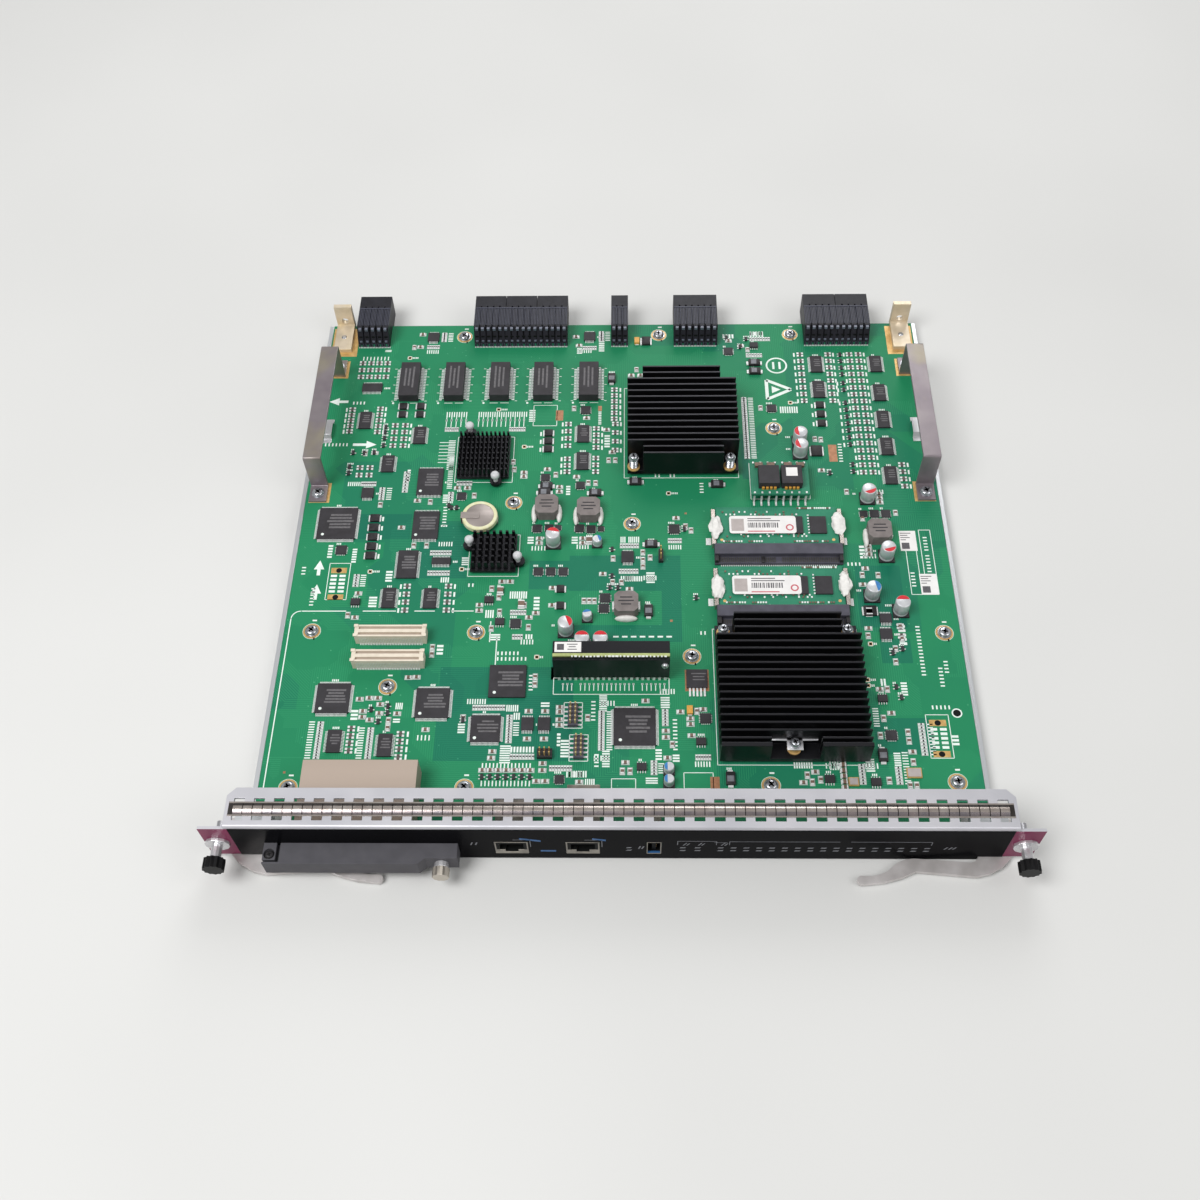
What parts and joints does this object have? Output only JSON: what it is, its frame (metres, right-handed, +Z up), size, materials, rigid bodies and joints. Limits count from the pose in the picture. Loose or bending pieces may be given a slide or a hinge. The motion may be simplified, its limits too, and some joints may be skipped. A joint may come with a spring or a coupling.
{
  "type": "main processing unit",
  "caption": "Plug-in control card for a network chassis: circuit board on a sheet tray, folded front panel with ejector levers and captive screws, heat sinks, memory and rear connectors.",
  "frame": {"origin": "middle of the tray's underside, where the unit lies flat", "axes": "+X to the right seen from the front, +Y from the front panel to the rear connectors, +Z up from the board"},
  "size_m": [0.3946, 0.3801, 0.0364],
  "materials": {
    "zinc_sheet": "satin zinc-plated sheet",
    "board_green": "glossy green solder mask",
    "panel_metal": "satin sheet with red painted ears",
    "overlay_black": "glossy black film",
    "spring_metal": "bright spring sheet",
    "lever_metal": "tumbled satin metal",
    "bright_steel": "bright plated steel",
    "chrome_metal": "bright turned metal",
    "knob_black": "matt black moulding",
    "cover_black": "satin black paint",
    "knurled_steel": "knurled steel",
    "bay_tan": "satin tan sheet",
    "jack_metal": "tinned shell",
    "clear_plastic": "milky clear plastic",
    "guard_metal": "satin bent sheet",
    "nickel_bar": "warm nickel plate",
    "connector_black": "matt dark moulding",
    "anodised_black": "black anodised",
    "chip_black": "charcoal moulding",
    "socket_black": "black moulding",
    "module_green": "green card",
    "cell_metal": "steel cell",
    "inductor_grey": "grey ferrite",
    "can_metal": "bright can",
    "module_yellow": "yellow-green card",
    "mezzanine_cream": "cream moulding"
  },
  "bodies": {
    "chassis": {"base_tray": "zinc_sheet", "circuit_board": "board_green", "front_panel": "panel_metal", "panel_overlay": "overlay_black", "finger_strip": "spring_metal", "left_lever_block": "zinc_sheet", "right_lever_block": "zinc_sheet", "lever_pins": "bright_steel", "screw_ferrules": "chrome_metal", "bay_cover": "cover_black", "bay_screw_collar": "chrome_metal", "card_bay": "bay_tan", "network_jacks": "jack_metal", "serial_jack": "jack_metal", "light_pipes": "clear_plastic", "left_guard": "guard_metal", "right_guard": "guard_metal", "edge_clips": "bright_steel", "left_guide_lug": "nickel_bar", "right_guide_lug": "nickel_bar", "signal_connector_a": "connector_black", "signal_connector_b": "connector_black", "signal_connector_c": "connector_black", "signal_connector_d": "connector_black", "power_connector": "connector_black", "rear_heat_sink": "anodised_black", "front_heat_sink": "anodised_black", "rear_pin_sink": "anodised_black", "front_pin_sink": "anodised_black", "sink_chips": "chip_black", "rear_memory_socket": "socket_black", "front_memory_socket": "socket_black", "rear_memory_module": "module_green", "front_memory_module": "module_green", "socket_latches": "spring_metal", "coin_cell": "cell_metal", "coin_cell_tabs": "bright_steel", "power_inductors": "inductor_grey", "large_capacitors": "can_metal", "small_capacitors": "can_metal", "converter_board": "module_green", "converter_coils": "chip_black", "upright_power_board": "module_yellow", "upright_heat_plates": "anodised_black", "mezzanine_connectors": "mezzanine_cream", "pin_headers": "socket_black", "signal_transformers": "chip_black", "flat_chips": "chip_black"},
    "left_lever": {"left_lever": "lever_metal"},
    "right_lever": {"right_lever": "lever_metal"},
    "left_clip": {"left_screw_clip": "bright_steel"},
    "right_clip": {"right_screw_clip": "bright_steel"},
    "left_knob": {"left_thumbscrew": "knob_black"},
    "right_knob": {"right_thumbscrew": "knob_black"},
    "bay_knob": {"bay_thumbscrew": "knurled_steel"}
  },
  "joints": [
    {"name": "left_lever_pivot", "type": "hinge", "parent": "chassis", "child": "left_lever", "pos_m": [-0.18035, -0.166, 0.0019], "axis": [0, 0, -1], "range_deg": [0, 55]},
    {"name": "left_screw_push", "type": "slide", "parent": "chassis", "child": "left_clip", "axis": [0, 1, 0], "range_m": [0, 0.004], "stiffness_N_per_m": 400, "springref_m": -0.002},
    {"name": "left_screw_turn", "type": "hinge", "parent": "left_clip", "child": "left_knob", "pos_m": [-0.19125, -0.1864, 0.01755], "axis": [0, 1, 0], "continuous": true},
    {"name": "right_lever_pivot", "type": "hinge", "parent": "chassis", "child": "right_lever", "pos_m": [0.18035, -0.166, 0.0019], "axis": [0, 0, 1], "range_deg": [0, 55]},
    {"name": "right_screw_push", "type": "slide", "parent": "chassis", "child": "right_clip", "axis": [0, 1, 0], "range_m": [0, 0.004], "stiffness_N_per_m": 400, "springref_m": -0.002},
    {"name": "right_screw_turn", "type": "hinge", "parent": "right_clip", "child": "right_knob", "pos_m": [0.19125, -0.1864, 0.01755], "axis": [0, 1, 0], "continuous": true},
    {"name": "bay_screw_turn", "type": "hinge", "parent": "chassis", "child": "bay_knob", "pos_m": [-0.0843, -0.1884, 0.0123], "axis": [0, 1, 0], "continuous": true}
  ]
}
